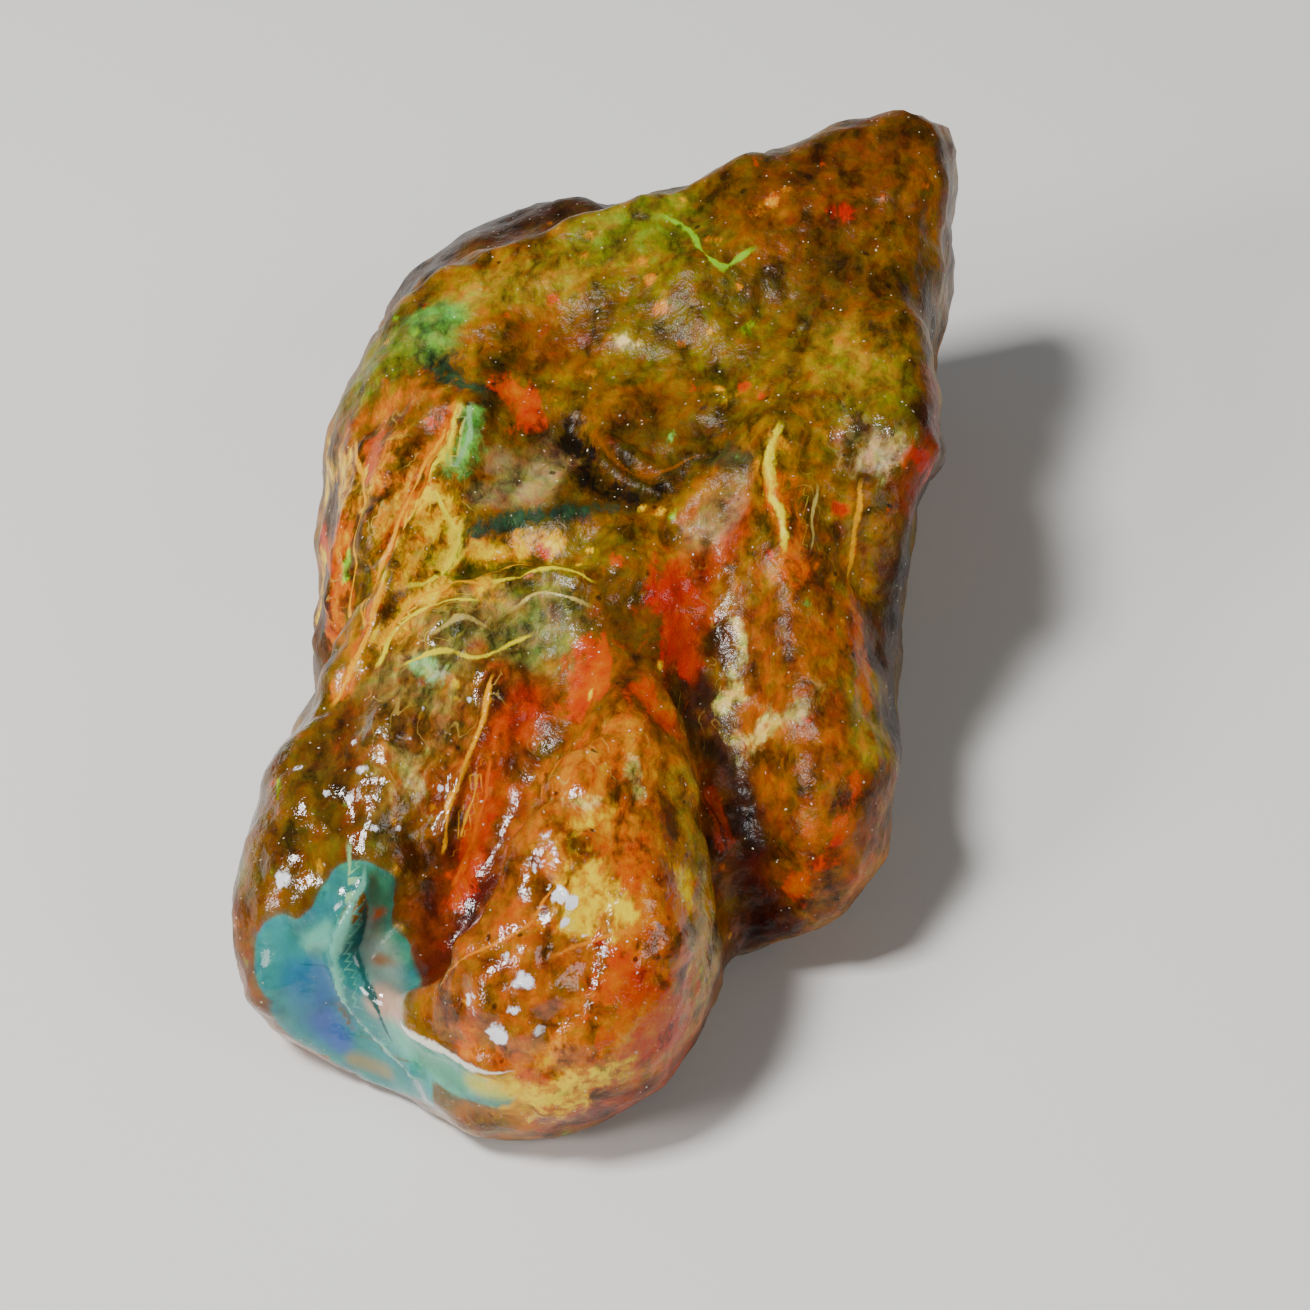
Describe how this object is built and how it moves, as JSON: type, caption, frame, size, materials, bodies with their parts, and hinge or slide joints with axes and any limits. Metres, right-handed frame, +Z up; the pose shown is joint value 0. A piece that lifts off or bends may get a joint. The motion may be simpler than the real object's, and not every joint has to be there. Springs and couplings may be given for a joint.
{
  "type": "rough precious opal",
  "caption": "Uncut nugget of translucent honey and brown precious opal, with lobes, folds and fracture scoops over a flat broken underside that it rests on.",
  "frame": {"origin": "middle of the bounding box, at the level of the flat underside that the stone rests on", "axes": "+Z up, shortest; +Y along the stone from its low lobed end to its tall square end, longest; +X to the right seen from the lobed end"},
  "size_m": [0.0231, 0.0379, 0.0132],
  "materials": {
    "opal": "gloss"
  },
  "bodies": {
    "root": {"opal": "opal"}
  },
  "joints": []
}
